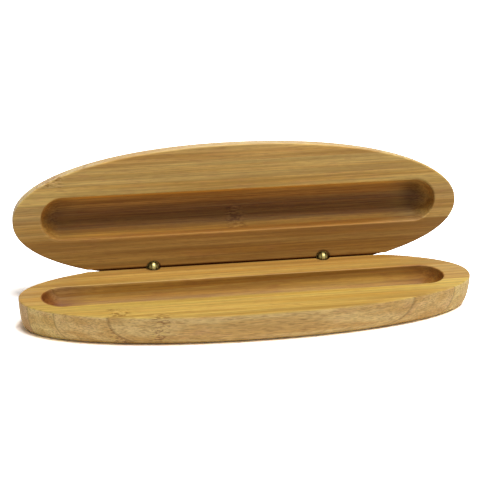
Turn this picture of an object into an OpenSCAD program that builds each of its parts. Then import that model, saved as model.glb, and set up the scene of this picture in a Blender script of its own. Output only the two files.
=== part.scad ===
// Oval bamboo pen box, shown open.
// Two like halves are milled from laminated bamboo, and the lid is one of them turned over.
// Two small brass ball hinges join them, whose round barrels are glued into drilled bores.
// Behind the hinges each half is bevelled, and the bevels' lower edges meet at the open stop.
// X runs along the box, -Y is the front, +Z is up.
// The origin is on the underside of the base, under the middle of the oval.

/* [Box] */
// Length of the oval, end to end
box_l = 176; // [140:1:220]
// Width of the oval, as if it went on behind the hinges
oval_w = 54.4; // [50:0.2:60]
// How far in from the oval the rim's straight back edge lies
back_cut = 6.6; // [6:0.1:8]
// Height of each half
half_h = 12.3; // [12:0.1:16]
// Squareness of the oval: 2 is an ellipse, more is fuller
oval_power = 2.12; // [2:0.01:3]
// How far the side curves in under the front and back
side_round = 4.3; // [2:0.1:6]
// How far the side curves in under the ends
end_round = 2.7; // [1:0.1:6]
// Bevel round the outside of the rim
rim_ease = 0.4; // [0.2:0.1:1]

/* [Pen slot] */
// Length of the slot, end to end
slot_l = 156.4; // [120:0.1:160]
// Width of the slot, which is also twice its depth
slot_w = 17; // [14:0.1:19]
// Distance of the slot's middle from the long axis
slot_y = -0.65; // [-4:0.05:4]
// Distance of the slot's middle from the oval's middle, along the box
slot_x = -1.1; // [-2:0.1:2]
// Bevel round the mouth of the slot
slot_ease = 0.5; // [0.2:0.1:1]

/* [Bamboo strips] */
// Width of the front strip, up to the first glue line
front_strip_w = 6.2; // [5:0.1:7]
// Width of the back strip, which the bevel cuts into
back_strip_w = 5.6; // [5:0.1:6]
// Number of strips in each half
strip_count = 8; // [8:1:8]
// Angle between the strips and the long axis
grain_skew = 0.4; // [0:0.1:1]

/* [Hinges] */
// Distance between the two hinges
hinge_spacing = 68; // [50:1:80]
// Distance of the pins behind the back edge of the rim
pin_back = 0.4; // [0.3:0.05:0.6]
// Diameter of a hinge barrel
barrel_d = 5; // [4.8:0.1:5.4]
// Length of a hinge barrel below its mouth
barrel_l = 6; // [6:0.5:7]
// How deep a barrel's mouth lies below the rim
mouth_depth = 0.8; // [0.6:0.1:1]
// Diameter of the ball that the fork and the tongue make together
ball_d = 4.4; // [4.2:0.1:4.6]
// Diameter of the hinge pin
pin_d = 1.2; // [1:0.1:1.5]
// Thickness of the tongue on the lid's barrel
tongue_t = 1.6; // [1.2:0.1:1.8]
// Width over the two cheeks of the fork on the base's barrel
fork_w = 3.8; // [3.6:0.1:4]
// Angle from shut to the stop, where the bevels behind the hinges meet
stop_angle = 94; // [86:1:100]
// Angle that the lid is shown at, from shut
open_angle = 94; // [0:1:94]

/* [Fits] */
// Seam between the rims when the box is shut
seam_gap = 0.1; // [0.05:0.05:0.3]
// Radial room for glue round a barrel
glue_fit = 0.02; // [0.01:0.01:0.1]
// Room round the ball
ball_fit = 0.08; // [0.05:0.01:0.1]
// Room at each side of the tongue
side_fit = 0.1; // [0.05:0.01:0.15]
// Radial room of the pin in the fork, which holds it
pin_fit = 0.01; // [0.01:0.01:0.02]
// Radial room of the pin in the tongue, which turns on it
turning_fit = 0.03; // [0.02:0.01:0.1]

/* [Hidden] */

bamboo = [0.80, 0.63, 0.36];
brass = [0.78, 0.68, 0.36];

// Stations round the oval, and steps down its curved side
stations = 96;
side_steps = 9;
// Larger than the whole box, for cutting planes
reach = 300;
// How far a cutter stands past the face it opens
past = 1;

// The strips between the front and the back one share what is left of the width
strip_w = (oval_w - front_strip_w - back_strip_w) / (strip_count - 2);
first_glue_y = front_strip_w - oval_w / 2;

slot_r = slot_w / 2;
slot_run = slot_l / 2 - slot_r;
slot_ease_r = sqrt(slot_r * slot_r - slot_ease * slot_ease);

barrel_r = barrel_d / 2;
// The bore is a little deeper than the barrel, for glue
glue_depth = 0.4;
bore_depth = mouth_depth + barrel_l + glue_depth;

// Straight back edge of the rim, and the pins, which lie in the seam a little behind it
rim_back = oval_w / 2 - back_cut;
axis_y = rim_back + pin_back;
axis_z = half_h + seam_gap / 2;
mouth_z = mouth_depth + seam_gap / 2;
ball_r = ball_d / 2;

// A hair more than the stop's angle, so that the halves touch without pressing
stop_spare = 0.4;
half_stop = (stop_angle + stop_spare) / 2;
// The brass is cut back a little more than that: the wood is the stop
relief_spare = 0.6;
relief_angle = half_stop + relief_spare;

// How far back the side reaches at depth d, in the middle of the box
function back_at(d) = oval_w / 2 - side_round * (1 - sqrt(1 - pow(d / half_h, 2)));

// Depth at which a plane through the pins, sloped by half_stop, meets the side, in so many steps
function crease_depth(d, steps) = steps == 0
    ? d
    : crease_depth(tan(half_stop) * (back_at(d) - axis_y) - seam_gap / 2, steps - 1);

// Slope of the bevel from the rim's back edge to that crease
crease_steps = 12;
crease_d = crease_depth(half_h / 2, crease_steps);
bevel_angle = atan(crease_d / (back_at(crease_d) - rim_back));

groove_count = 3;
groove_depth = 0.2;
groove_w = 0.5;
groove_pitch = 1.6;
barrel_chamfer = 0.4;

// Signed power, for the oval's formula
function spow(v, e) = sign(v) * pow(abs(v), e);

// A point of the oval at angle a
function oval(a) = [
    box_l / 2 * spow(cos(a), 2 / oval_power),
    oval_w / 2 * spow(sin(a), 2 / oval_power)
];

// The oval's outward direction at angle a
function outward(a) = let (
    p = oval(a),
    g = [
        spow(2 * p[0] / box_l, oval_power - 1) * 2 / box_l,
        spow(2 * p[1] / oval_w, oval_power - 1) * 2 / oval_w
    ]
) g / norm(g);

// How far the side curves in altogether at angle a: less at the ends
function round_at(a) = let (n = outward(a)) side_round + (end_round - side_round) * n[0] * n[0];

// The curved side is a quarter of an ellipse, from the rim down to the flat underside
function side_ring(t) = [
    for (j = [0:stations - 1]) let (
        a = 360 * j / stations,
        p = oval(a) - outward(a) * round_at(a) * (1 - cos(t))
    ) [p[0], p[1], -half_h * sin(t)]
];

// The rim's own ring, drawn in by the bevel
rim_ring = [
    for (j = [0:stations - 1]) let (
        a = 360 * j / stations,
        p = oval(a) - outward(a) * rim_ease
    ) [p[0], p[1], 0]
];

// Angle down the quarter ellipse at which the bevel ends
ease_t = asin(rim_ease / half_h);

// One half before it is cut into strips: rim at height 0, underside below
module half_blank() {
    rings = [rim_ring, for (k = [0:side_steps]) side_ring(ease_t + (90 - ease_t) * k / side_steps)];
    last = len(rings) - 1;
    top = [for (j = [stations - 1:-1:0]) j];
    bottom = [for (j = [0:stations - 1]) last * stations + j];
    upper = [
        for (k = [0:last - 1], j = [0:stations - 1])
            [k * stations + j, k * stations + (j + 1) % stations, (k + 1) * stations + (j + 1) % stations]
    ];
    lower = [
        for (k = [0:last - 1], j = [0:stations - 1])
            [k * stations + j, (k + 1) * stations + (j + 1) % stations, (k + 1) * stations + j]
    ];
    polyhedron(points = [for (r = rings) each r], faces = concat([top], upper, lower, [bottom]));
}

// The slab of the blank that strip i takes, counted from the front
module strip_slab(i) {
    from = i == 1 ? -reach : first_glue_y + (i - 2) * strip_w;
    to = i == strip_count ? reach : first_glue_y + (i - 1) * strip_w;
    rotate([0, 0, grain_skew])
        translate([-reach, from, -reach])
            cube([2 * reach, to - from, 2 * reach]);
}

// Slanted cut behind the rim, from its back edge down to the side
module stop_bevel_tool() {
    translate([0, rim_back, 0])
        rotate([-bevel_angle, 0, 0])
            translate([-reach, -past, 0])
                cube([2 * reach, reach, reach]);
}

// Round-bottomed pen slot with ball ends, turned about its own long axis
module slot_tool() {
    translate([slot_x, slot_y, 0])
        rotate([0, 90, 0])
            rotate_extrude($fn = 96)
                intersection() {
                    union() {
                        translate([-slot_r, -slot_run]) square([2 * slot_r, 2 * slot_run]);
                        translate([0, slot_run]) circle(r = slot_r, $fn = 96);
                        translate([0, -slot_run]) circle(r = slot_r, $fn = 96);
                    }
                    translate([0, -slot_l]) square([slot_w, 2 * slot_l]);
                }
}

// Bevel round the mouth of the slot: two cones and a straight run between them
module slot_bevel_tool() {
    top_r = slot_r + slot_ease + past;
    for (s = [-1, 1])
        translate([slot_x + s * slot_run, slot_y, -slot_ease])
            cylinder(r1 = slot_ease_r, r2 = top_r, h = slot_ease + past, $fn = 96);
    translate([slot_x - slot_run, slot_y, 0])
        rotate([90, 0, 90])
            linear_extrude(height = 2 * slot_run)
                polygon([[-slot_ease_r, -slot_ease], [slot_ease_r, -slot_ease], [top_r, past], [-top_r, past]]);
}

// The two bores for the hinge barrels, which break out through the bevel
module bore_tool() {
    for (s = [-1, 1])
        translate([s * hinge_spacing / 2, axis_y, -bore_depth])
            cylinder(r = barrel_r + glue_fit, h = bore_depth + past, $fn = 48);
}

// One strip of a half, milled to shape
module strip(i) {
    color(bamboo)
        difference() {
            intersection() {
                half_blank();
                strip_slab(i);
            }
            slot_tool();
            slot_bevel_tool();
            stop_bevel_tool();
            if (i >= strip_count - 1) bore_tool();
        }
}

// The hinge parts below are drawn about the pin, with the box shut.

// Round brass rod with glue grooves and a bevelled foot, mouth upwards
module barrel_rod() {
    foot = -mouth_z - barrel_l;
    grooves = [
        for (g = [1:groove_count]) let (z = foot + g * groove_pitch)
            each [[barrel_r, z - groove_w / 2], [barrel_r - groove_depth, z - groove_w / 2],
                  [barrel_r - groove_depth, z + groove_w / 2], [barrel_r, z + groove_w / 2]]
    ];
    rotate_extrude($fn = 48)
        polygon(concat(
            [[0, foot], [barrel_r - barrel_chamfer, foot], [barrel_r, foot + barrel_chamfer]],
            grooves,
            [[barrel_r, -mouth_z], [0, -mouth_z]]
        ));
}

// A rod along the pin's line
module across(r, w) {
    rotate([0, 90, 0])
        cylinder(r = r, h = w, center = true, $fn = 48);
}

// Upright slab across the pin, of width w
module slab(w) {
    translate([-w / 2, -reach / 2, -reach / 2]) cube([w, reach, reach]);
}

// Slice of a ball round the pin, of width w
module ball_slice(r, w) {
    intersection() {
        sphere(r = r, $fn = 48);
        slab(w);
    }
}

// Slanted cut behind the pin, clear of the other half at the stop
module relief_tool() {
    rotate([-relief_angle, 0, 0])
        translate([-barrel_d, 0, 0])
            cube([2 * barrel_d, 2 * barrel_d, 2 * barrel_d]);
}

// Barrel cut back behind the pin
module relieved_rod() {
    difference() {
        barrel_rod();
        relief_tool();
    }
}

// Base barrel: a fork whose two cheeks hold the pin
module fork_barrel() {
    color(brass)
        difference() {
            union() {
                relieved_rod();
                ball_slice(ball_r, fork_w);
            }
            ball_slice(ball_r + ball_fit, tongue_t + 2 * side_fit);
            across(pin_d / 2 + pin_fit, 2 * barrel_d);
        }
}

// Lid barrel: a tongue that turns on the pin between the cheeks
module tongue_barrel() {
    color(brass)
        difference() {
            union() {
                difference() {
                    relieved_rod();
                    sphere(r = ball_r + ball_fit, $fn = 48);
                }
                intersection() {
                    union() {
                        relieved_rod();
                        sphere(r = ball_r, $fn = 48);
                    }
                    slab(tongue_t);
                }
            }
            across(pin_d / 2 + turning_fit, 2 * barrel_d);
        }
}

// Hinge pin, a plain rod just shorter than the fork is wide
module hinge_pin() {
    color(brass)
        across(pin_d / 2, fork_w - 2 * side_fit);
}

// Puts a half's wood in the base
module in_base() {
    translate([0, 0, half_h]) children();
}

// Swings what is drawn about the pin up to the shown angle
module in_lid() {
    translate([0, axis_y, axis_z])
        rotate([-open_angle, 0, 0])
            children();
}

// Puts a half's wood in the lid, turned over upon the base and then opened
module lid_wood() {
    in_lid()
        translate([0, -axis_y, seam_gap / 2])
            rotate([0, 180, 0])
                children();
}

// Puts hinge parts at the left or right hinge of the base
module at_hinge(side) {
    translate([side * hinge_spacing / 2, axis_y, axis_z]) children();
}

// Puts a lid barrel at the left or right hinge
module at_lid_hinge(side) {
    in_lid()
        translate([side * hinge_spacing / 2, 0, 0])
            rotate([0, 180, 0])
                children();
}

in_base() strip(1);  // base_strip_1
in_base() strip(2);  // base_strip_2
in_base() strip(3);  // base_strip_3
in_base() strip(4);  // base_strip_4
in_base() strip(5);  // base_strip_5
in_base() strip(6);  // base_strip_6
in_base() strip(7);  // base_strip_7
in_base() strip(8);  // base_strip_8
lid_wood() strip(1);  // lid_strip_1
lid_wood() strip(2);  // lid_strip_2
lid_wood() strip(3);  // lid_strip_3
lid_wood() strip(4);  // lid_strip_4
lid_wood() strip(5);  // lid_strip_5
lid_wood() strip(6);  // lid_strip_6
lid_wood() strip(7);  // lid_strip_7
lid_wood() strip(8);  // lid_strip_8
at_hinge(-1) fork_barrel();  // base_barrel_left
at_hinge(1) fork_barrel();  // base_barrel_right
at_lid_hinge(-1) tongue_barrel();  // lid_barrel_left
at_lid_hinge(1) tongue_barrel();  // lid_barrel_right
at_hinge(-1) hinge_pin();  // hinge_pin_left
at_hinge(1) hinge_pin();  // hinge_pin_right
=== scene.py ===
import math
from types import SimpleNamespace

import bmesh
import bpy
import numpy as np
from mathutils import Matrix, Vector


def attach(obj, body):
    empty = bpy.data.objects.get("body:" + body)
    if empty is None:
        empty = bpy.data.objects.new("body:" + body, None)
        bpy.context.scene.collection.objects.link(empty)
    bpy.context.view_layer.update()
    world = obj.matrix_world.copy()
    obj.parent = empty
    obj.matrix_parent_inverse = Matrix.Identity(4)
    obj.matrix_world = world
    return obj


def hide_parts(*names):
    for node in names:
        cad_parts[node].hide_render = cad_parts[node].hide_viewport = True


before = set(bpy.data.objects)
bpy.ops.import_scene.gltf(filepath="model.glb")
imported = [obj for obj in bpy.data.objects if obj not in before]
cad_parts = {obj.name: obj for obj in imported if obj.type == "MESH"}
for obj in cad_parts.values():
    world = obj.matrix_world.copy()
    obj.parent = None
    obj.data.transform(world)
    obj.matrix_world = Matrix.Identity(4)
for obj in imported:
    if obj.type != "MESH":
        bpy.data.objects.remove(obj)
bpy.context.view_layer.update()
scene = bpy.context.scene
scene.view_settings.view_transform = "Standard"

# Camera
# A long lens a little above the open box and in front of it, slightly left of the middle.
# Its place was fitted to the rims, slots and hinges in the photograph.
CAMERA_LENS = 127.095
CAMERA_SHIFT = (-0.001, 0.001)
CAMERA_PLACE = (-0.121234, -0.586165, 0.282735)
CAMERA_HEADING = math.radians(-11.432)
CAMERA_TILT = math.radians(67.055)
CAMERA_ROLL = math.radians(1.228)
camera_data = bpy.data.cameras.new("camera")
camera_data.sensor_width = 36
camera_data.lens = CAMERA_LENS
camera_data.shift_x, camera_data.shift_y = CAMERA_SHIFT
camera_data.clip_start = 0.01
camera_data.clip_end = 20
camera = bpy.data.objects.new("camera", camera_data)
scene.collection.objects.link(camera)
camera.matrix_world = (
    Matrix.Translation(CAMERA_PLACE)
    @ Matrix.Rotation(CAMERA_HEADING, 4, "Z")
    @ Matrix.Rotation(CAMERA_TILT, 4, "X")
    @ Matrix.Rotation(CAMERA_ROLL, 4, "Z")
)
scene.camera = camera

# Floor and light
# A plain white table in a white surround, lit by one broad soft lamp above and in front, a
# little to the right, and by what the table throws back.
FLOOR_HALF = 6
FLOOR_Z = -2e-5
TABLE_WHITE = (0.97, 0.97, 0.97, 1)
TABLE_SEEN = (2.7, 2.7, 2.7, 1)
SURROUND_LIGHT = 0.05
SURROUND_SEEN = 1.0
LAMP_PLACE = Vector((0.34, -0.2, 1.6))
LAMP_SIZE = 1.0
LAMP_POWER = 31


class Nodes:
    """Adds shader nodes to a tree. An input given as a socket is linked; anything else is set."""

    def __init__(self, tree):
        self.tree = tree
        tree.nodes.clear()

    def give(self, socket, value):
        if isinstance(value, bpy.types.NodeSocket):
            self.tree.links.new(value, socket)
        elif value is not None:
            socket.default_value = value

    def add(self, kind, inputs=None, **settings):
        made = self.tree.nodes.new(kind)
        for key, value in settings.items():
            setattr(made, key, value)
        for key, value in (inputs or {}).items():
            self.give(made.inputs[key], value)
        return made

    def math(self, operation, a, b=None, c=None):
        made = self.add("ShaderNodeMath", operation=operation)
        for socket, value in zip(made.inputs, (a, b, c)):
            self.give(socket, value)
        return made.outputs[0]

    def times(self, a, b):
        return self.math("MULTIPLY", a, b)

    def minus(self, a, b):
        return self.math("SUBTRACT", a, b)

    def size(self, value):
        return self.math("ABSOLUTE", value)

    def between(self, factor, at_zero, at_one):
        """A number that goes straight from at_zero to at_one with the factor."""
        return self.math("MULTIPLY_ADD", factor, at_one - at_zero, at_zero)

    def step(self, value, low, high, to_low=0.0, to_high=1.0):
        """Smooth step: to_low below low, to_high above high."""
        made = self.add(
            "ShaderNodeMapRange",
            {"Value": value, "From Min": low, "From Max": high, "To Min": to_low, "To Max": to_high},
            interpolation_type="SMOOTHSTEP",
        )
        return made.outputs[0]

    def vector(self, operation, a, b):
        return self.add("ShaderNodeVectorMath", {0: a, 1: b}, operation=operation).outputs[0]

    def length(self, x, y, z=0.0):
        """Length of the vector with these parts."""
        joined = self.add("ShaderNodeCombineXYZ", {0: x, 1: y, 2: z}).outputs[0]
        return self.add("ShaderNodeVectorMath", {0: joined}, operation="LENGTH").outputs["Value"]

    def blend(self, factor, a, b, how="MIX"):
        """Colour a turned into colour b by the factor."""
        made = self.add("ShaderNodeMix", data_type="RGBA", blend_type=how)
        self.give(made.inputs["Factor"], factor)
        self.give(made.inputs[6], a)
        self.give(made.inputs[7], b)
        return made.outputs[2]

    def tint(self, factor, colour, by):
        """The colour multiplied by another colour or by a grey number, as far as the factor says."""
        return self.blend(factor, colour, by, "MULTIPLY")


def plain_mesh(name, points, faces, smooth=False):
    """A mesh object with its place in its mesh, from points and faces."""
    mesh = bpy.data.meshes.new(name)
    mesh.from_pydata(points, [], faces)
    mesh.update()
    mesh.polygons.foreach_set("use_smooth", [smooth] * len(mesh.polygons))
    made = bpy.data.objects.new(name, mesh)
    scene.collection.objects.link(made)
    return made


floor_corners = [
    (x * FLOOR_HALF, y * FLOOR_HALF, FLOOR_Z) for x, y in ((-1, -1), (1, -1), (1, 1), (-1, 1))
]
floor = plain_mesh("floor", floor_corners, [(0, 1, 2, 3)])
floor_material = bpy.data.materials.new("white_table")
floor_material.use_nodes = True
nodes = Nodes(floor_material.node_tree)
rays = nodes.add("ShaderNodeLightPath")
table_colour = nodes.blend(rays.outputs["Is Camera Ray"], TABLE_WHITE, TABLE_SEEN)
table_shader = nodes.add("ShaderNodeBsdfDiffuse", {"Color": table_colour})
nodes.add("ShaderNodeOutputMaterial", {"Surface": table_shader.outputs[0]})
floor.data.materials.append(floor_material)

world = bpy.data.worlds.new("white_surround")
scene.world = world
world.use_nodes = True
nodes = Nodes(world.node_tree)
rays = nodes.add("ShaderNodeLightPath")
seen = nodes.math("MAXIMUM", rays.outputs["Is Camera Ray"], rays.outputs["Is Transmission Ray"])
seen = nodes.math("MAXIMUM", seen, rays.outputs["Is Glossy Ray"])
strength = nodes.between(seen, SURROUND_LIGHT, SURROUND_SEEN)
surround = nodes.add("ShaderNodeBackground", {"Color": (1, 1, 1, 1), "Strength": strength})
nodes.add("ShaderNodeOutputWorld", {"Surface": surround.outputs[0]})

lamp_data = bpy.data.lights.new("lamp_above", "AREA")
lamp_data.shape = "SQUARE"
lamp_data.size = LAMP_SIZE
lamp_data.energy = LAMP_POWER
lamp = bpy.data.objects.new("lamp_above", lamp_data)
scene.collection.objects.link(lamp)
lamp.location = LAMP_PLACE
lamp.rotation_euler = (-LAMP_PLACE).to_track_quat("-Z", "Y").to_euler()

# Base: eight bamboo strips
# Strips of moso bamboo, glued side by side, then milled to an oval with a side that curves in
# under it, a bevelled back and a round-bottomed pen slot, sanded and given a thin clear finish.
MM = 0.001
HALF_LENGTH = 88.0
HALF_WIDTH = 27.2
OVAL_POWER = 2.12
HALF_HEIGHT = 12.3
SIDE_ROUND = 4.3
END_ROUND = 2.7
RIM_BACK = 20.6
RIM_EASE = 0.7
BACK_EASE = 0.3
SEAM = 0.05
BEVEL = math.radians(45)
SLOT_RADIUS = 8.5
SLOT_RUN = 69.7
SLOT_X = -1.1
SLOT_Y = -0.65
SLOT_EASE = 0.5
STRIP_COUNT = 8
FIRST_GLUE_Y = -21.0
STRIP_WIDTH = 7.1
GRAIN_SKEW = math.radians(0.4)
SAW_SNAP = 0.004
HINGE_X = 34.0
PIN_Y = 21.0
FIRST_BORED = 7
BORE_RADIUS = 2.52
BORE_DEPTH = 7.2
BORE_BREAK = 0.12
BORE_TOOL_RISE = 0.48
STRIP_SHARP = math.radians(32)

# Stations of the half's rings: round each end, along the front and along the back
AT_END, AT_FRONT, AT_BACK = 64, 150, 120
FRONT_START = math.radians(-40)
# Rings below the side's split, above it, round the rim's edge and down the slot
LOWER_RINGS, UPPER_RINGS, EDGE_RINGS, SLOT_RINGS = 13, 9, 5, 17

# Turn of the side, from the rim down, at which its lines change from the upper run to the lower one
SPLIT_CORNER = math.radians(6)
SPLIT_FRONT = math.radians(42)
SPLIT_FADE = math.radians(9)
SPLIT_REACH = math.radians(2)
# How far the crease is rounded, and the largest share of a short way up the bevel that a rounding takes
CREASE_EASE = 0.4
EASE_SHARE = 0.3
# How far outside the slot's radius the middle of its eased mouth is pulled
LIP_BULGE = 0.02
# How near a point counts as on the slot's bottom line, and how near two of them are merged
ON_LINE = 0.001
MERGED = 0.002


def signed_power(value, power):
    """A value's size raised to a power, with the value's own sign."""
    return np.sign(value) * np.abs(value) ** power


def quadratic(start, control, end, part):
    """Point of a quadratic curve: start (1 - p)^2 + control 2 p (1 - p) + end p^2."""
    return (1 - part) ** 2 * start + 2 * part * (1 - part) * control + part**2 * end


def oval(angle):
    """Points and outward directions of a superellipse at angles: each coordinate is a half-width times
    the cosine or sine to the power 2 / OVAL_POWER."""
    x = HALF_LENGTH * signed_power(np.cos(angle), 2 / OVAL_POWER)
    y = HALF_WIDTH * signed_power(np.sin(angle), 2 / OVAL_POWER)
    out_x = signed_power(x / HALF_LENGTH, OVAL_POWER - 1) / HALF_LENGTH
    out_y = signed_power(y / HALF_WIDTH, OVAL_POWER - 1) / HALF_WIDTH
    size = np.hypot(out_x, out_y)
    return x, y, out_x / size, out_y / size


def side_rounding(out_x):
    """How far the side is drawn in at the bottom: more in front and behind than at the ends."""
    return SIDE_ROUND + (END_ROUND - SIDE_ROUND) * out_x**2


def side(angle, turn):
    """Points of the curved side: the oval drawn in along its outward direction by the rounding times
    one minus the cosine of turn, at a depth of the height times its sine. Also the length of side for
    each radian of turn."""
    x, y, out_x, out_y = oval(angle)
    rounding = side_rounding(out_x)
    inset = rounding * (1 - np.cos(turn))
    speed = np.hypot(rounding * np.sin(turn), HALF_HEIGHT * np.cos(turn))
    return np.stack([x - out_x * inset, y - out_y * inset, -HALF_HEIGHT * np.sin(turn)], -1), speed


def crease(corner, samples=4000):
    """Stations of the crease where the side meets the bevel, from the left corner to the right: their x,
    and the side's angle and turn there. They come from P cos t - Q sin t = K for a side of that outline
    and a plane at the bevel's slope."""
    behind = np.linspace(corner, np.pi / 2, samples)
    x, y, out_x, out_y = oval(behind)
    rounding = side_rounding(out_x)
    p, q = out_y * rounding * math.sin(BEVEL), HALF_HEIGHT * math.cos(BEVEL)
    k = -(y - RIM_BACK - out_y * rounding) * math.sin(BEVEL)
    turn = np.clip(np.arccos(k / np.hypot(p, q)) - np.arctan2(q, p), 0, None)
    crease_x = x - out_x * rounding * (1 - np.cos(turn))
    back_x = np.linspace(-crease_x[0], crease_x[0], AT_BACK, endpoint=False)
    angle = np.interp(-np.abs(back_x), -crease_x, behind)
    back_turn = np.interp(-np.abs(back_x), -crease_x, turn)
    return back_x, np.where(back_x < 0, np.pi - angle, angle), back_turn


def slot_ring(radius, depth):
    """A slot outline: two straight runs and two half circles, with the stations of the rim."""
    to_front = np.linspace(np.pi / 2, -np.pi / 2, AT_END, endpoint=False)
    to_left = np.linspace(SLOT_RUN, -SLOT_RUN, AT_FRONT, endpoint=False)
    to_right = np.linspace(-SLOT_RUN, SLOT_RUN, AT_BACK, endpoint=False)
    end_x, end_y = SLOT_RUN + radius * np.cos(to_front), radius * np.sin(to_front)
    x = np.concatenate([end_x, to_left, -end_x, to_right])
    y = np.concatenate([end_y, np.full(AT_FRONT, -radius), -end_y, np.full(AT_BACK, radius)])
    return np.stack([x + SLOT_X, y + SLOT_Y, 0 * x - depth], -1)


def half_grid():
    """One half with its rim at height 0, as rings of points from the underside up the side, over the
    rim and down into the slot. The rings run round the right end, along the front, round the left
    end and along the back. At the back the side's lines stop at the crease of the bevel, round it with
    a small quadratic curve and go straight up the bevel, so that the crease follows one ring."""
    corner = np.arcsin((RIM_BACK / HALF_WIDTH) ** (OVAL_POWER / 2))
    right = np.linspace(corner, FRONT_START, AT_END, endpoint=False)
    fore = np.linspace(FRONT_START, -np.pi - FRONT_START, AT_FRONT, endpoint=False)
    left = np.linspace(-np.pi - FRONT_START, -np.pi - corner, AT_END, endpoint=False)
    back_x, back_angle, back_turn = crease(corner)
    angle = np.concatenate([right, fore, left, back_angle])
    is_back = np.arange(len(angle)) >= len(angle) - AT_BACK
    from_corner = np.concatenate([corner - right, np.full(AT_FRONT, np.inf), left - (-np.pi - corner)])
    split = SPLIT_CORNER + (SPLIT_FRONT - SPLIT_CORNER) * (1 - np.exp(-np.abs(from_corner) / SPLIT_FADE))
    split = np.concatenate([split, np.maximum(back_turn, SPLIT_CORNER)])

    # The rim's sharp edge, and the way from each crease point up to it
    edge = np.stack([*oval(angle)[:2], 0 * angle], -1)
    edge[is_back, 0] = back_x
    edge[is_back, 1] = RIM_BACK
    bend, speed = side(angle, split)
    climb = edge - bend
    length = np.linalg.norm(climb, axis=-1)
    climb /= length[:, None]
    reach = np.where(is_back, np.minimum(CREASE_EASE, EASE_SHARE * length), SPLIT_REACH * speed)
    below, _ = side(angle, split + reach / speed)
    curved, _ = side(angle, split - reach / speed)
    above = np.where(is_back[:, None], bend + climb * reach[:, None], curved)
    ease = np.where(is_back, np.minimum(BACK_EASE, EASE_SHARE * length), RIM_EASE)
    top_turn = np.arcsin(RIM_EASE / HALF_HEIGHT)
    foot, _ = side(angle, np.full(len(angle), top_turn))
    foot = np.where(is_back[:, None], edge - climb * ease[:, None], foot)

    rings = []
    for part in np.linspace(0, 1, LOWER_RINGS):
        ring, _ = side(angle, np.pi / 2 + (split + reach / speed - np.pi / 2) * part)
        rings.append(ring)
    for part in (0.25, 0.5, 0.75):
        rings.append(quadratic(below, bend, above, part))
    for part in np.linspace(0, 1, UPPER_RINGS):
        curved, _ = side(angle, (split - reach / speed) * (1 - part) + top_turn * part)
        rings.append(np.where(is_back[:, None], above * (1 - part) + foot * part, curved))

    # Rounded edge of the rim, which goes straight in along the back and is mitred at the corners
    _, _, inward_x, inward_y = oval(angle)
    inward_x = np.where(is_back, 0.0, inward_x)
    inward_y = np.where(is_back, 1.0, inward_y)
    for station in (0, len(angle) - AT_BACK):
        _, _, out_x, out_y = oval(angle[station])
        inward_x[station] = out_x / (1 + out_y)
        inward_y[station] = 1.0
    rim = edge - np.stack([inward_x, inward_y, 0 * inward_x], -1) * ease[:, None]
    for part in np.linspace(0, 1, EDGE_RINGS + 1)[1:]:
        rings.append(quadratic(foot, edge, rim, part))

    # Flat rim, the slot's eased mouth, and its round bottom
    mouth = slot_ring(SLOT_RADIUS + SLOT_EASE, 0)
    rings += [rim * 0.6 + mouth * 0.4, mouth]
    lip_turn = math.asin(SLOT_EASE / SLOT_RADIUS)
    lip = SLOT_RADIUS * math.cos(lip_turn)
    for part in (0.3, 0.65, 1.0):
        radius = quadratic(SLOT_RADIUS + SLOT_EASE, SLOT_RADIUS + LIP_BULGE, lip, part)
        rings.append(slot_ring(radius, part**2 * SLOT_EASE))
    for turn in np.linspace(lip_turn, np.pi / 2, SLOT_RINGS + 1)[1:]:
        rings.append(slot_ring(SLOT_RADIUS * math.cos(turn), SLOT_RADIUS * math.sin(turn)))
    return np.array(rings)


def grid_quads(count, around):
    """Faces between rings of points, each ring closed on itself, from the first ring to the last."""
    ring = np.arange(count - 1)[:, None] * around
    here = np.arange(around)[None, :]
    there = (here + 1) % around
    quads = np.stack([ring + here, ring + there, ring + around + there, ring + around + here], -1)
    return quads.reshape(-1, 4).tolist()


def half_solid():
    """The half as one closed bmesh: the grid's quads, a flat underside, and a slot whose two sides are
    joined along its bottom line."""
    grid = half_grid()
    count, around = grid.shape[:2]
    mesh = bpy.data.meshes.new("half")
    mesh.from_pydata(grid.reshape(-1, 3), [], grid_quads(count, around) + [list(range(around))])
    solid = bmesh.new()
    solid.from_mesh(mesh)
    bpy.data.meshes.remove(mesh)
    slot_bottom = [
        v for v in solid.verts if abs(v.co.z + SLOT_RADIUS) < ON_LINE and abs(v.co.y - SLOT_Y) < ON_LINE
    ]
    bmesh.ops.remove_doubles(solid, verts=slot_bottom, dist=MERGED)
    bmesh.ops.dissolve_degenerate(solid, dist=1e-5, edges=solid.edges)
    bmesh.ops.recalc_face_normals(solid, faces=solid.faces)
    for face in solid.faces:
        face.smooth = True
    return solid


def cut(solid, offset, keep_front):
    """Saws a solid along the glue plane at an offset from the long axis and closes the sawn face."""
    across = Vector((-math.sin(GRAIN_SKEW), math.cos(GRAIN_SKEW), 0))
    bmesh.ops.bisect_plane(
        solid,
        geom=solid.verts[:] + solid.edges[:] + solid.faces[:],
        dist=SAW_SNAP,
        plane_co=across * offset,
        plane_no=across,
        clear_outer=keep_front,
        clear_inner=not keep_front,
    )
    rim = [e for e in solid.edges if len(e.link_faces) == 1]
    made = bmesh.ops.edgeloop_fill(solid, edges=rim)
    for face in made["faces"]:
        face.smooth = False
    for edge in rim:
        edge.smooth = False


def turned_tool(profile, x, y, around=64):
    """Points and faces of a closed cutter: a profile of radius and height turned about an upright line."""
    radius, height = np.array(profile, float).T[:, :, None]
    angle = np.linspace(0, 2 * np.pi, around, endpoint=False)[None, :]
    points = np.stack([x + radius * np.cos(angle), y + radius * np.sin(angle), height + 0 * angle], -1)
    last_ring = (len(profile) - 1) * around
    caps = [list(range(around))[::-1], list(range(last_ring, last_ring + around))]
    return points.reshape(-1, 3), grid_quads(len(profile), around) + caps


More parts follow.
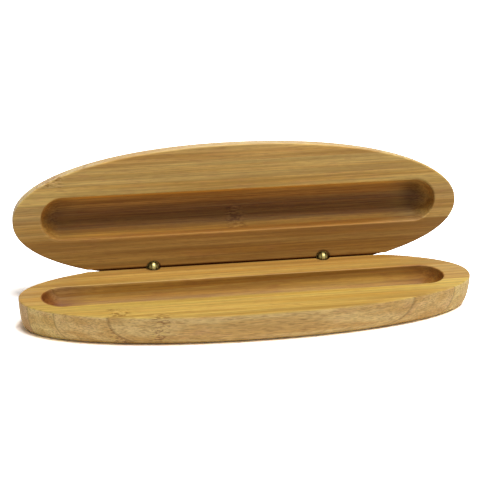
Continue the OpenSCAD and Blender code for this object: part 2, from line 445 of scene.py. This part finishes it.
def bored(strip_object):
    """Cuts the two hinge bores, with a slightly broken edge, into a back strip in mm."""
    profile = [
        (BORE_RADIUS, -BORE_DEPTH),
        (BORE_RADIUS, -BORE_BREAK),
        (BORE_RADIUS + BORE_BREAK + BORE_TOOL_RISE, BORE_TOOL_RISE),
    ]
    tools = []
    for sign in (-1, 1):
        points, faces = turned_tool(profile, sign * HINGE_X, PIN_Y)
        tool = plain_mesh("bore_tool", points, faces, True)
        cutter = strip_object.modifiers.new("bore", "BOOLEAN")
        cutter.operation = "DIFFERENCE"
        cutter.solver = "EXACT"
        cutter.object = tool
        tools.append(tool)
    graph = bpy.context.evaluated_depsgraph_get()
    shaped = bpy.data.meshes.new_from_object(strip_object.evaluated_get(graph))
    strip_object.modifiers.clear()
    strip_object.data = shaped
    for tool in tools:
        bpy.data.objects.remove(tool)


def strip(name, number, placed):
    """Strip of a half, counted from the front: the half sawn at its two glue planes, put in its place."""
    solid = half_solid()
    if number > 1:
        cut(solid, FIRST_GLUE_Y + (number - 2) * STRIP_WIDTH, False)
    if number < STRIP_COUNT:
        cut(solid, FIRST_GLUE_Y + (number - 1) * STRIP_WIDTH, True)
    mesh = bpy.data.meshes.new(name)
    solid.to_mesh(mesh)
    solid.free()
    made = bpy.data.objects.new(name, mesh)
    scene.collection.objects.link(made)
    if number >= FIRST_BORED:
        bored(made)
        mesh = made.data
        mesh.name = name
    points = np.empty(len(mesh.vertices) * 3)
    mesh.vertices.foreach_get("co", points)
    mesh.vertices.foreach_set("co", (placed(points.reshape(-1, 3)) * MM).ravel())
    solid = bmesh.new()
    solid.from_mesh(mesh)
    bmesh.ops.recalc_face_normals(solid, faces=solid.faces)
    for edge in solid.edges:
        if len(edge.link_faces) == 2 and edge.calc_face_angle() > STRIP_SHARP:
            edge.smooth = False
    solid.to_mesh(mesh)
    solid.free()
    weighted = made.modifiers.new("even_shading", "WEIGHTED_NORMAL")
    weighted.keep_sharp = True
    return made


def in_base(points):
    """Half to base: the rim goes up to the base's height."""
    return points + [0, 0, HALF_HEIGHT]


# Colours of the bamboo: the bands, mottling and streaks of its ground
PALE_BAND = (0.70, 0.475, 0.15, 1)
DEEP_BAND = (0.575, 0.335, 0.082, 1)
RUST = (0.62, 0.33, 0.13, 1)
DARK_STREAK = (0.43, 0.235, 0.08, 1)
PALE_STREAK = (0.8, 0.55, 0.2, 1)
# Its fibre bundles and knots, on the rim and on the side
COARSE_BUNDLE = (0.3, 0.14, 0.05, 1)
FINE_BUNDLE = (0.36, 0.19, 0.07, 1)
RIM_DASH = (0.38, 0.19, 0.07, 1)
SIDE_DASH = (0.47, 0.235, 0.1, 1)
RIM_KNOT = (0.25, 0.115, 0.03, 1)
SIDE_KNOT = (0.36, 0.165, 0.075, 1)
PALE_KNOT = (0.85, 0.6, 0.26, 1)
# Painted shade round the barrels, on the walls and edges of their bores, and glue between the strips
BORE_SHADE = (0.1, 0.045, 0.015, 1)
GLUE_LINE = (0.22, 0.1, 0.035, 1)
# Tints that multiply it: painted shade near the slot's mouth and down its wall, painted shade in the deep
# middle of its ball ends, the streaks that the cutter scorched, a painted highlight and a paler band on
# rounded edges, and painted shade in the crack between the halves
SLOT_MOUTH_SHADE = (1.0, 0.93, 0.82, 1)
SLOT_WALL_SHADE = (0.86, 0.75, 0.5, 1)
BALL_END_SHADE = (0.41, 0.32, 0.25, 1)
SCORCHED = (0.56, 0.42, 0.3, 1)
PALE_EDGE_AND_HIGHLIGHT = (1.25, 1.36, 1.6, 1)
CRACK_SHADE = (0.3, 0.15, 0.08, 1)

# How the bamboo's figure runs: repeats per mm along the strip, across it and in depth, an offset that
# keeps the patterns apart, and the noise's detail and roughness
PATTERNS = {
    "wander": ((0.018, 0.05, 0.05), 3.1, 1.0, 0.5),
    "bands": ((0.008, 0.3, 0.25), 11.0, 2.0, 0.5),
    "ribbons": ((0.012, 0.9, 0.8), 31.0, 2.0, 0.5),
    "streaks": ((0.03, 2.3, 2.1), 23.0, 4.0, 0.65),
    "fibres": ((0.09, 8.0, 7.0), 41.0, 3.0, 0.6),
    "dashes": ((0.22, 2.0, 2.3), 57.0, 2.0, 0.6),
    "mottle": ((0.09, 0.3, 0.3), 71.0, 3.0, 0.55),
    "knot_wobble": ((0.0, 0.25, 0.25), 7.0, 1.0, 0.5),
    "knot_flecks": ((0.4, 1.5, 1.5), 5.0, 3.0, 0.6),
}
# The same for the cells of the fibre bundles, with how much they scatter
COARSE_CELLS = ((0.22, 1.25, 1.1), 5.0, 0.95)
FINE_CELLS = ((0.2, 2.4, 2.2), 15.0, 1.0)
WANDER = 0.7
KNOT_WOBBLE = 5.0
KNOT_CURL = 6.0

# How strongly each part of the figure shows on the rim and on the side
RIBBONS_SHOW = (1.0, 0.3)
STREAKS_SHOW = (0.68, 0.28)
COARSE_SHOWS = (0.22, 0.5)
FINE_SHOWS = (0.15, 0.45)
DASHES_SHOW = (0.28, 0.55)
KNOTS_SHOW = (0.7, 0.85)
GLUE_SHOWS = (0.18, 0.38)
# Strength of the slot's end tint and of its painted shade in the left ball end and in the right one
ENDS_SHOW = (0.8, 0.45)
BALL_SHADES_SHOW = (0.85, 0.2)
SCORCH_SHOWS = (0.0, 0.4)

# Where each zone of the bamboo begins and ends, in mm. Depths are under the rim.
SIDE_DEPTH = (0.12, RIM_EASE)
SLOT_EDGE = (SLOT_RADIUS + 0.3, SLOT_RADIUS + 0.6)
KNOT_HALF = (1.8, 5.4)
WALL_DEPTH = (0.5, 3.5)
FLOOR_DEPTH = (4.0, 7.8)
FRONT_WALL_Y = (-3.0, 1.8)
FRONT_WALL_DEPTH = (0.3, 2.0)
LEFT_TO_RIGHT = (-20.0, 20.0)
# Past the centre of the slot's ball end: its darker end, and the middle and half-width of the painted
# shade in its deep middle
END_ZONE = (-13.0, 3.0)
BALL_SHADE_MIDDLE = 3.5
BALL_SHADE_HALF = (1.0, 9.0)
BALL_SHADE_DEPTH = (5.0, 8.3)
SCORCH_DEPTH = (5.0, 8.0)
# Paler edges: a painted highlight on the slot's mouth, mostly behind, and a paler band on the rim's
# outside
MOUTH_HALF = (0.1, 0.45)
MOUTH_DEPTH = (0.6, 1.1)
MOUTH_BEHIND = (-4.0, 4.0)
OUTSIDE_TOP = (0.02, 0.12)
OUTSIDE_DEPTH = (0.45, 0.9)
# Painted shade in the crack behind the rim's back edge and round the barrels in their bores, and glue
# between the strips
CRACK_Y = (RIM_BACK - 0.55, RIM_BACK - 0.1)
CRACK_TOP = (-0.25, 0.25)
CRACK_DEPTH = (1.2, 2.8)
CRACK_END = (55.0, 60.0)
BORE_SHADE_EDGE = (2.85, 3.2)
BORE_SHADE_DEPTH = (4.0, 4.4)
GLUE_LINE_PART = (0.008, 0.034)
WOOD_RELIEF = 0.00006


def stretched(nodes, vector, seed, repeats, offset):
    """Coordinates scaled by a pattern's repeats, and moved by its offset and the strip's seed."""
    moved = (offset + seed * 3.7, seed * 7.3, offset * 1.3)
    mapped = nodes.add("ShaderNodeMapping", {"Vector": vector, "Scale": repeats, "Location": moved})
    return mapped.outputs[0]


def noise(nodes, vector, seed, pattern):
    """Noise of one of the patterns, as its node."""
    repeats, offset, detail, rough = PATTERNS[pattern]
    place = stretched(nodes, vector, seed, repeats, offset)
    return nodes.add(
        "ShaderNodeTexNoise", {"Vector": place, "Scale": 1.0, "Detail": detail, "Roughness": rough}
    )


def cells(nodes, vector, seed, kind):
    """Cells round scattered points, one for each fibre bundle, as their node."""
    repeats, offset, scatter = kind
    place = stretched(nodes, vector, seed, repeats, offset)
    return nodes.add("ShaderNodeTexVoronoi", {"Vector": place, "Scale": 1.0, "Randomness": scatter})


def bamboo_places(nodes, seed, to_grain):
    """Where a point of a half lies, as sockets in mm: its place along the grain, across it and in depth
    under the rim, alone and as one vector, straight and wandering a little; its place across its own
    strip, from 0 to 1; how far it is past the centre of the slot's ball end, how far behind the slot's
    middle, and how far from the slot's axis; and, from 0 to 1, whether it is in the slot, off it, or on
    the side."""
    at = SimpleNamespace()
    scale, turn, shift = to_grain
    place = nodes.add("ShaderNodeTexCoord").outputs["Object"]
    at.grain = nodes.add(
        "ShaderNodeMapping", {"Vector": place, "Scale": scale, "Rotation": turn, "Location": shift}
    ).outputs[0]
    at.along, at.across, at.depth = nodes.add("ShaderNodeSeparateXYZ", {"Vector": at.grain}).outputs
    wander = noise(nodes, at.grain, seed, "wander").outputs["Color"]
    wander = nodes.vector("SUBTRACT", wander, (0.5, 0.5, 0.5))
    at.wandered = nodes.vector("ADD", at.grain, nodes.vector("MULTIPLY", wander, (0.0, WANDER, WANDER)))

    strips = nodes.math("DIVIDE", nodes.minus(at.across, FIRST_GLUE_Y), STRIP_WIDTH)
    at.part = nodes.math("FRACT", nodes.math("ADD", strips, STRIP_COUNT))
    at.past_ball = nodes.minus(nodes.size(nodes.minus(at.along, SLOT_X)), SLOT_RUN)
    at.behind_slot = nodes.minus(at.across, SLOT_Y)
    at.from_slot = nodes.length(nodes.math("MAXIMUM", at.past_ball, 0.0), at.behind_slot, at.depth)
    at.in_slot = nodes.step(at.from_slot, *SLOT_EDGE, 1.0, 0.0)
    at.off_slot = nodes.minus(1.0, at.in_slot)
    at.is_side = nodes.times(nodes.step(at.depth, *SIDE_DEPTH), at.off_slot)
    return at


def bamboo_figure(nodes, seed, at):
    """The bamboo's patterns, as sockets: its noises, and its fibre bundles from 0 to 1. Each coarse bundle
    has a size and a strength of its own, and they crowd towards the strip's skin side."""
    figure = SimpleNamespace()
    figure.bands = noise(nodes, at.grain, seed, "bands").outputs["Fac"]
    figure.ribbons = noise(nodes, at.grain, seed, "ribbons").outputs["Fac"]
    figure.streaks = noise(nodes, at.grain, seed, "streaks").outputs["Fac"]
    figure.fibres = noise(nodes, at.grain, seed, "fibres").outputs["Fac"]
    figure.dashes = noise(nodes, at.wandered, seed, "dashes").outputs["Fac"]
    figure.mottle = noise(nodes, at.grain, seed, "mottle").outputs["Fac"]

    coarse = cells(nodes, at.wandered, seed, COARSE_CELLS)
    own = nodes.add("ShaderNodeSeparateColor", {"Color": coarse.outputs["Color"]}).outputs
    from_rim = nodes.minus(coarse.outputs["Distance"], nodes.between(own[0], 0.2, 0.4))
    bundle = nodes.times(nodes.step(from_rim, -0.12, 0.1, 1.0, 0.0), nodes.between(own[1], 0.2, 1.0))
    figure.bundle = nodes.times(bundle, nodes.step(at.part, 0.0, 0.85, 1.0, 0.25))
    fine = cells(nodes, at.wandered, seed, FINE_CELLS)
    figure.fine_bundle = nodes.step(fine.outputs["Distance"], 0.1, 0.55, 1.0, 0.0)
    return figure


def bamboo_ground(nodes, at, figure, side_tint):
    """Colour of the ground: pale and deep bands, rusty mottling, fibres, ribbons, and dark and pale
    streaks. The curved side is paler, with a tint of its own."""
    colour = nodes.blend(nodes.step(figure.bands, 0.36, 0.64), PALE_BAND, DEEP_BAND)
    colour = nodes.blend(nodes.step(figure.mottle, 0.5, 0.75, 0.0, 0.35), colour, RUST)
    colour = nodes.tint(1.0, colour, nodes.step(figure.fibres, 0.3, 0.7, 0.94, 1.1))
    ribbon = nodes.step(figure.ribbons, 0.36, 0.64, 0.1, -0.18)
    ribbon = nodes.times(ribbon, nodes.between(at.is_side, *RIBBONS_SHOW))
    colour = nodes.tint(1.0, colour, nodes.math("ADD", ribbon, 1.0))
    streak = nodes.times(nodes.step(figure.streaks, 0.48, 0.7), nodes.between(at.is_side, *STREAKS_SHOW))
    colour = nodes.blend(streak, colour, DARK_STREAK)
    colour = nodes.blend(nodes.step(figure.streaks, 0.3, 0.5, 0.35, 0.0), colour, PALE_STREAK)
    return nodes.tint(at.is_side, colour, (*side_tint, 1))


def with_bundles(nodes, at, figure, colour):
    """The colour with brown fibre bundles, which are dashes along the grain and dots on end grain, and
    stand out more on the side."""
    coarse = nodes.times(figure.bundle, nodes.between(at.is_side, *COARSE_SHOWS))
    colour = nodes.blend(coarse, colour, COARSE_BUNDLE)
    fine = nodes.times(figure.fine_bundle, nodes.between(at.is_side, *FINE_SHOWS))
    colour = nodes.blend(fine, colour, FINE_BUNDLE)
    dash = nodes.times(nodes.step(figure.dashes, 0.5, 0.66), nodes.between(at.is_side, *DASHES_SHOW))
    return nodes.blend(dash, colour, nodes.blend(at.is_side, RIM_DASH, SIDE_DASH))


def with_knot(nodes, seed, at, knot_x, colour):
    """The colour with a knot: a wavy band across the strip, of short dark dashes with pale ones between
    them."""
    wobble = noise(nodes, at.grain, seed, "knot_wobble").outputs["Fac"]
    wavy = nodes.math("MULTIPLY_ADD", wobble, KNOT_WOBBLE, at.along)
    band = nodes.step(nodes.size(nodes.minus(wavy, knot_x + KNOT_WOBBLE / 2)), *KNOT_HALF, 1.0, 0.0)
    band = nodes.times(band, nodes.between(at.is_side, *KNOTS_SHOW))
    curl = nodes.add("ShaderNodeCombineXYZ", {1: nodes.times(wobble, KNOT_CURL)}).outputs[0]
    flecks = noise(nodes, nodes.vector("ADD", at.wandered, curl), seed, "knot_flecks").outputs["Fac"]
    dark = nodes.times(band, nodes.step(flecks, 0.5, 0.58))
    colour = nodes.blend(dark, colour, nodes.blend(at.is_side, RIM_KNOT, SIDE_KNOT))
    pale = nodes.times(band, nodes.step(flecks, 0.38, 0.46, 0.9, 0.0))
    return nodes.blend(pale, colour, PALE_KNOT)


def with_slot(nodes, at, figure, slot_tints, colour):
    """The colour with the slot. Its wall darkens as it goes down, and its floor has a tint of its own:
    painted shade. Its ball ends are darker, partly the end grain's own colour and partly painted shade.
    The tints are those of its front wall, its floor and its ends. The left end of a half has the stronger
    end tint, and the stronger painted shade in the deep middle of its ball."""
    front_tint, floor_tint, end_tint = [(*tint, 1) for tint in slot_tints]
    # Painted shade: the wall darker as it goes down, the floor with a tint of its own
    tone = nodes.blend(nodes.step(at.depth, *WALL_DEPTH), SLOT_MOUTH_SHADE, SLOT_WALL_SHADE)
    tone = nodes.blend(nodes.step(at.depth, *FLOOR_DEPTH), tone, floor_tint)
    front_wall = nodes.step(at.behind_slot, *FRONT_WALL_Y, 1.0, 0.0)
    front_wall = nodes.times(front_wall, nodes.step(at.depth, *FRONT_WALL_DEPTH))
    tone = nodes.tint(front_wall, tone, front_tint)
    end = nodes.step(at.past_ball, *END_ZONE)
    end = nodes.times(end, nodes.step(at.along, *LEFT_TO_RIGHT, *ENDS_SHOW))
    end = nodes.math("MAXIMUM", nodes.step(figure.mottle, 0.5, 0.8, 0.0, 0.35), end)
    tone = nodes.blend(end, tone, end_tint)
    # Painted shade in the deep middle of each ball end, stronger at the left end
    ball_shade = nodes.step(nodes.size(nodes.minus(at.past_ball, BALL_SHADE_MIDDLE)), *BALL_SHADE_HALF, 1.0, 0.0)
    ball_shade = nodes.times(ball_shade, nodes.step(at.depth, *BALL_SHADE_DEPTH))
    ball_shade = nodes.times(ball_shade, nodes.step(at.along, *LEFT_TO_RIGHT, *BALL_SHADES_SHOW))
    tone = nodes.tint(ball_shade, tone, BALL_END_SHADE)
    colour = nodes.tint(at.in_slot, colour, tone)
    scorch = nodes.step(figure.streaks, 0.44, 0.6, *SCORCH_SHOWS)
    scorch = nodes.times(scorch, nodes.step(at.depth, *SCORCH_DEPTH))
    return nodes.tint(nodes.times(scorch, at.in_slot), colour, SCORCHED)


def with_pale_edges_and_highlight(nodes, at, colour):
    """The colour with its rounded edges made paler: a painted highlight on the slot's mouth, mostly
    behind, and a paler band on the rim's outside."""
    # Painted highlight on the slot's mouth, then the paler band on the rim's outside
    mouth = nodes.size(nodes.minus(at.from_slot, SLOT_RADIUS + SLOT_EASE / 2))
    mouth = nodes.step(mouth, *MOUTH_HALF, 1.0, 0.0)
    mouth = nodes.times(mouth, nodes.step(at.depth, *MOUTH_DEPTH, 1.0, 0.0))
    mouth = nodes.times(mouth, nodes.step(at.behind_slot, *MOUTH_BEHIND, 0.1, 1.0))
    outside = nodes.step(at.depth, *OUTSIDE_DEPTH, 0.35, 0.0)
    outside = nodes.times(outside, nodes.step(at.depth, *OUTSIDE_TOP))
    outside = nodes.times(outside, at.off_slot)
    return nodes.tint(nodes.math("MAXIMUM", mouth, outside), colour, PALE_EDGE_AND_HIGHLIGHT)


def with_crack_shade(nodes, at, colour):
    """The colour with painted shade in the crack between the halves, from the straight back edge down the
    top of the bevel."""
    crack = nodes.times(nodes.step(at.across, *CRACK_Y), nodes.step(at.depth, *CRACK_TOP))
    crack = nodes.times(crack, nodes.step(at.depth, *CRACK_DEPTH, 1.0, 0.0))
    crack = nodes.times(crack, nodes.step(nodes.size(at.along), *CRACK_END, 1.0, 0.0))
    return nodes.tint(crack, colour, CRACK_SHADE)


def with_bore_shade_and_glue(nodes, at, colour):
    """The colour with painted shade round each barrel, on the bore's wall, its broken edge and a narrow
    ring of the rim round it, and with glue lines along both sides of the strip, which show most on end
    grain. Also the lines alone, from 0 to 1."""
    # Painted shade in and round each bore, then the glue lines
    from_hinge = nodes.minus(nodes.size(at.along), HINGE_X)
    from_barrel = nodes.length(from_hinge, nodes.minus(at.across, PIN_Y))
    ring = nodes.step(from_barrel, *BORE_SHADE_EDGE, 0.75, 0.0)
    ring = nodes.times(ring, nodes.step(at.depth, *BORE_SHADE_DEPTH, 1.0, 0.0))
    colour = nodes.blend(ring, colour, BORE_SHADE)
    margin = nodes.minus(0.5, nodes.size(nodes.minus(at.part, 0.5)))
    lines = nodes.step(margin, *GLUE_LINE_PART, 1.0, 0.0)
    lines = nodes.times(lines, nodes.between(at.is_side, *GLUE_SHOWS))
    return nodes.blend(lines, colour, GLUE_LINE), lines


def bamboo(name, half, seed, tone, knot_x, side_tint):
    """Bamboo for one strip, worked out in the solid along its own grain. The strip's tone multiplies the
    whole colour, and the side's tint multiplies the ground of its side."""
    material = bpy.data.materials.new(name)
    material.use_nodes = True
    nodes = Nodes(material.node_tree)
    at = bamboo_places(nodes, seed, half.to_grain)
    figure = bamboo_figure(nodes, seed, at)
    colour = bamboo_ground(nodes, at, figure, side_tint)
    colour = with_bundles(nodes, at, figure, colour)
    colour = with_knot(nodes, seed, at, knot_x, colour)
    colour = with_slot(nodes, at, figure, half.slot_tints, colour)
    colour = with_pale_edges_and_highlight(nodes, at, colour)
    colour = with_crack_shade(nodes, at, colour)
    colour, glue_lines = with_bore_shade_and_glue(nodes, at, colour)
    colour = nodes.tint(1.0, colour, (*tone, 1))

    rough = nodes.step(figure.fibres, 0.2, 0.8, 0.42, 0.56)
    height = nodes.math("MULTIPLY_ADD", figure.fibres, 0.5, nodes.times(figure.bundle, -0.6))
    height = nodes.minus(height, nodes.times(glue_lines, 1.2))
    bump = nodes.add("ShaderNodeBump", {"Height": height, "Strength": 0.25, "Distance": WOOD_RELIEF})
    wood = nodes.add(
        "ShaderNodeBsdfPrincipled",
        {"Base Color": colour, "Roughness": rough, "Normal": bump.outputs[0], "Specular IOR Level": 0.22},
    )
    nodes.add("ShaderNodeOutputMaterial", {"Surface": wood.outputs[0]})
    return material


def strip_piece(half, number, seed, tone, knot_x, side_tint):
    """Strip of a half as a finished piece, in place of its CAD node."""
    piece = strip(f"{half.name}_bamboo_{number}", number, half.placed)
    piece.data.materials.append(
        bamboo(f"bamboo_{half.name}_{number}", half, seed, tone, knot_x, side_tint)
    )
    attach(piece, half.name)
    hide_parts(f"{half.name}_strip_{number}")


# Scale, turn and shift from the frame to the base's grain, and the tints of its slot's front wall,
# floor and ends
BASE = SimpleNamespace(
    name="base",
    placed=in_base,
    to_grain=((1 / MM, 1 / MM, -1 / MM), (0, 0, -GRAIN_SKEW), (0, 0, HALF_HEIGHT)),
    slot_tints=((1.0, 1.0, 1.0), (0.9, 0.88, 0.54), (0.4, 0.17, 0.09)),
)
BASE_SIDE = (1.42, 1.5, 2.55)
# Tone and knot place of each strip, from the front to the back. Seeds keep the strips' figures apart.
BASE_SEED = 1.7
BASE_STRIPS = [
    (1, (0.86, 0.84, 0.6), -38),
    (2, (0.88, 0.85, 0.6), -53),
    (3, (0.93, 0.94, 0.64), -160),
    (4, (0.85, 0.8, 0.66), 160),
    (5, (0.8, 0.75, 0.66), -150),
    (6, (0.77, 0.71, 0.53), 120),
    (7, (0.73, 0.65, 0.48), -120),
    (8, (0.75, 0.68, 0.5), 140),
]
for number, tone, knot_x in BASE_STRIPS:
    strip_piece(BASE, number, number * BASE_SEED, tone, knot_x, BASE_SIDE)

# Lid: eight bamboo strips
# The same half again, turned over end for end upon the base. It stands open at 94 degrees about
# the hinge pins, where the lower edge of its back bevel meets that of the base.
PIN_Z = HALF_HEIGHT + SEAM
OPEN = math.radians(94)


def in_lid(points):
    """Half to open lid: half a turn about the front-back axis, then swung back about the hinge pins."""
    y, z = points[:, 1] - PIN_Y, SEAM - points[:, 2]
    return np.stack(
        [
            -points[:, 0],
            PIN_Y + y * math.cos(OPEN) + z * math.sin(OPEN),
            PIN_Z - y * math.sin(OPEN) + z * math.cos(OPEN),
        ],
        -1,
    )


# The frame's points are swung shut about the pins, then turned to the grain
unskew = Matrix.Rotation(-GRAIN_SKEW, 3, "Z")
unturn = unskew @ Matrix.Rotation(OPEN, 3, "X")
shift = unskew @ Vector((0, PIN_Y, -SEAM)) - unturn @ Vector((0, PIN_Y, PIN_Z))
LID = SimpleNamespace(
    name="lid",
    placed=in_lid,
    to_grain=((-1 / MM, 1 / MM, 1 / MM), (OPEN, 0, -GRAIN_SKEW), tuple(shift)),
    # Slot tints of the lid: painted light on the front wall, which hangs over the slot in the open lid and
    # faces down, and painted shade on the floor, which faces the dark front
    slot_tints=((1.62, 1.62, 1.55), (0.5, 0.42, 0.36), (0.62, 0.6, 0.54)),
)
LID_SIDE = (1.31, 1.5, 2.93)
LID_FIRST_SEED = 20
LID_SEED = 2.3
# The tones are partly painted shade: the lid's strips are less yellow than the base's, and those nearest
# the hinge, 6 to 8, darker, as the lid's face stands in shade and is darkest next to the base
LID_STRIPS = [
    (1, (1.07, 1.0, 0.95), 130),
    (2, (1.04, 1.02, 0.98), 72),
    (3, (1.08, 1.06, 0.98), -140),
    (4, (0.9, 0.84, 0.84), 150),
    (5, (0.93, 0.86, 0.79), 0),
    (6, (0.72, 0.6, 0.48), -130),
    (7, (0.78, 0.68, 0.57), 150),
    (8, (0.74, 0.64, 0.52), 35),
]
# The lid's outside is like the base's side, strip by strip, but half as uneven: the lid's strip tone, with
# its painted shade, is divided out of it
BASE_EVEN = (0.83, 0.79, 0.59)
for (number, tone, knot_x), (_, base_tone, _) in zip(LID_STRIPS, BASE_STRIPS):
    side_tint = tuple(
        side_part * (0.5 * base_part + 0.5 * even_part) / part
        for side_part, base_part, even_part, part in zip(LID_SIDE, base_tone, BASE_EVEN, tone)
    )
    strip_piece(LID, number, LID_FIRST_SEED + number * LID_SEED, tone, knot_x, side_tint)

# Hinges: brass barrels and pins
# Round turned brass barrels, glued into the bores: a fork in the base and a tongue in the lid,
# held by a plain pin through both.
# Repeats per metre of the tool rings and of the tarnish, and how rough and how deep they make the metal
TOOL_RING_REPEATS = (60, 60, 9000)
PATCH_REPEATS = 900.0
BRASS_ROUGH = (0.34, 0.52)
BRASS_RELIEF = 0.00003
# How near points of the CAD copy are merged, and the width of its broken edges
BRASS_MERGED = 2e-6
BROKEN_EDGE = 0.00016
# Angles under which faces are joined, and over which edges shade as sharp and are broken
FLAT_JOINED = math.radians(1)
BRASS_SHARP = math.radians(30)
BRASS_BROKEN = math.radians(35)


def brass(name, bright, dull):
    """Turned brass: fine tool rings up the barrel, a yellow metal and darker tarnish in patches."""
    material = bpy.data.materials.new(name)
    material.use_nodes = True
    nodes = Nodes(material.node_tree)
    place = nodes.add("ShaderNodeTexCoord").outputs["Object"]
    rings = nodes.add("ShaderNodeMapping", {"Vector": place, "Scale": TOOL_RING_REPEATS}).outputs[0]
    rings = nodes.add("ShaderNodeTexNoise", {"Vector": rings, "Scale": 1.0, "Detail": 2.0}).outputs["Fac"]
    patches = nodes.add(
        "ShaderNodeTexNoise", {"Vector": place, "Scale": PATCH_REPEATS, "Detail": 3.0}
    ).outputs["Fac"]
    colour = nodes.blend(nodes.step(patches, 0.35, 0.65), bright, dull)
    rough = nodes.step(patches, 0.3, 0.8, *BRASS_ROUGH)
    bump = nodes.add("ShaderNodeBump", {"Height": rings, "Strength": 0.3, "Distance": BRASS_RELIEF})
    metal = nodes.add(
        "ShaderNodeBsdfPrincipled",
        {"Base Color": colour, "Metallic": 1.0, "Roughness": rough, "Normal": bump.outputs[0]},
    )
    nodes.add("ShaderNodeOutputMaterial", {"Surface": metal.outputs[0]})
    return material


# The tongue is a yellow brass, worn a little at its sides. The fork, and the pins with it, are made
# darker: painted shade, as the fork's cheeks sit in the shade of the bore.
TONGUE_BRASS = brass("tongue_brass", (0.56, 0.48, 0.2, 1), (0.36, 0.29, 0.1, 1))
SHADED_FORK_BRASS = brass("shaded_fork_brass", (0.34, 0.28, 0.095, 1), (0.13, 0.1, 0.03, 1))
TONGUE_HALF = 0.0008
TONGUE_NEAR = 1e-5
TONGUE_WORN = 0.00017


def wear_tongue(mesh):
    """Moves the tongue's two side faces in towards its middle, so that a dark line shows beside it: x goes
    in by TONGUE_WORN where it is TONGUE_HALF from the barrel's middle."""
    points = np.empty(len(mesh.vertices) * 3)
    mesh.vertices.foreach_get("co", points)
    from_middle = points[::3] - np.sign(points[::3]) * HINGE_X * MM
    on_side = np.abs(np.abs(from_middle) - TONGUE_HALF) < TONGUE_NEAR
    points[::3] -= np.where(on_side, np.sign(from_middle) * TONGUE_WORN, 0)
    mesh.vertices.foreach_set("co", points)


def brass_piece(name, node, body, material):
    """A merged copy of a CAD hinge part with its flat faces joined, its edges broken and its rounds
    smooth."""
    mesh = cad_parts[node].data.copy()
    mesh.name = name
    if material is TONGUE_BRASS:
        wear_tongue(mesh)
    solid = bmesh.new()
    solid.from_mesh(mesh)
    bmesh.ops.remove_doubles(solid, verts=solid.verts, dist=BRASS_MERGED)
    bmesh.ops.dissolve_limit(solid, angle_limit=FLAT_JOINED, verts=solid.verts, edges=solid.edges)
    for face in solid.faces:
        face.smooth = True
    for edge in solid.edges:
        edge.smooth = not (len(edge.link_faces) == 2 and edge.calc_face_angle() > BRASS_SHARP)
    solid.to_mesh(mesh)
    solid.free()
    mesh.materials.clear()
    mesh.materials.append(material)
    made = bpy.data.objects.new(name, mesh)
    scene.collection.objects.link(made)
    broken = made.modifiers.new("broken_edges", "BEVEL")
    broken.width = BROKEN_EDGE
    broken.segments = 2
    broken.limit_method = "ANGLE"
    broken.angle_limit = BRASS_BROKEN
    weighted = made.modifiers.new("even_shading", "WEIGHTED_NORMAL")
    weighted.keep_sharp = True
    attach(made, body)
    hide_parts(node)


for hand in ("left", "right"):
    brass_piece(f"fork_{hand}", f"base_barrel_{hand}", "base", SHADED_FORK_BRASS)
    brass_piece(f"tongue_{hand}", f"lid_barrel_{hand}", "lid", TONGUE_BRASS)
    brass_piece(f"pin_{hand}", f"hinge_pin_{hand}", "base", SHADED_FORK_BRASS)
